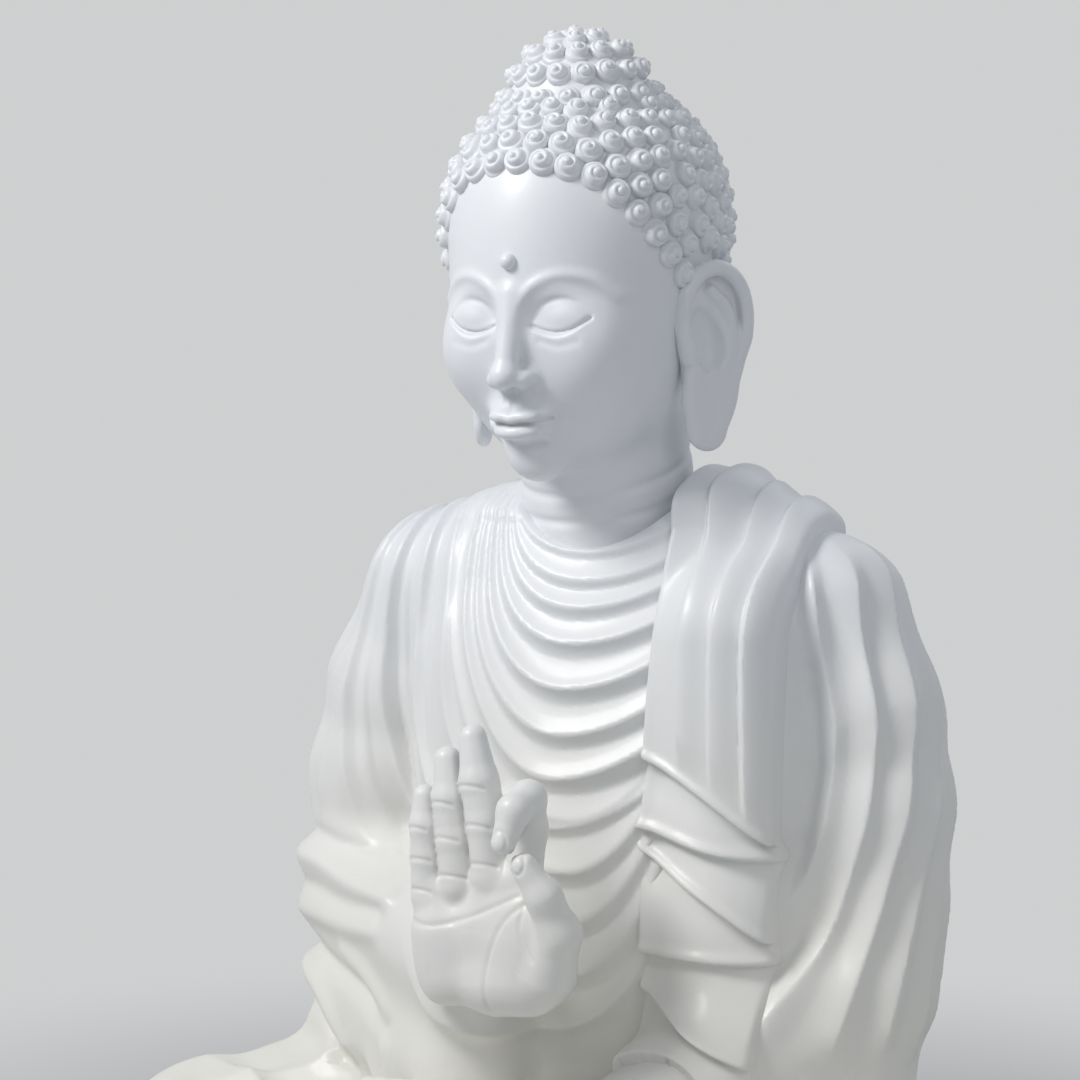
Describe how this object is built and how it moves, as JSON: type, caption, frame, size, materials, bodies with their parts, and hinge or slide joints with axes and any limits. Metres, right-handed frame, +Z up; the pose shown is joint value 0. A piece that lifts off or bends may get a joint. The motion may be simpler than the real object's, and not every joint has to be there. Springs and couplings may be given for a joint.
{
  "type": "buddha statue",
  "caption": "Seated Buddha figure in white enamelled laminate, right hand raised with thumb and forefinger joined, robe with sash, snail curls and topknot, on a steel frame.",
  "frame": {"origin": "centre of the footprint on the underside of the closing board", "axes": "+Z up, the figure faces -Y, +X to the figure's own left"},
  "size_m": [1.0031, 0.6048, 1.2213],
  "materials": {
    "white_enamel": "gloss",
    "frame_steel": "satin",
    "fastener_steel": "satin",
    "board": "matte",
    "bonding_resin": "matte"
  },
  "bodies": {
    "root": {"torso_front": "white_enamel", "torso_back": "white_enamel", "lap_shell": "white_enamel", "sleeve_right": "white_enamel", "sleeve_left": "white_enamel", "sash": "white_enamel", "robe_apron": "white_enamel", "hand_right": "white_enamel", "hand_left": "white_enamel", "foot_right": "white_enamel", "face_shell": "white_enamel", "scalp_shell": "white_enamel", "topknot": "white_enamel", "ear_left": "white_enamel", "ear_right": "white_enamel", "scalp_curls": "white_enamel", "topknot_curls": "white_enamel", "forehead_dot": "white_enamel", "frame_rail_front": "frame_steel", "frame_rail_back": "frame_steel", "mast_saddle": "frame_steel", "mast": "frame_steel", "shoulder_bar": "frame_steel", "anchor_nut_plates": "frame_steel", "forearm_rod": "frame_steel", "base_screws": "fastener_steel", "rail_bolts": "fastener_steel", "mast_bolts": "fastener_steel", "shoulder_bolt": "fastener_steel", "closing_board": "board", "shoulder_pads": "bonding_resin", "neck_collar": "bonding_resin", "head_collar": "bonding_resin"}
  },
  "joints": []
}
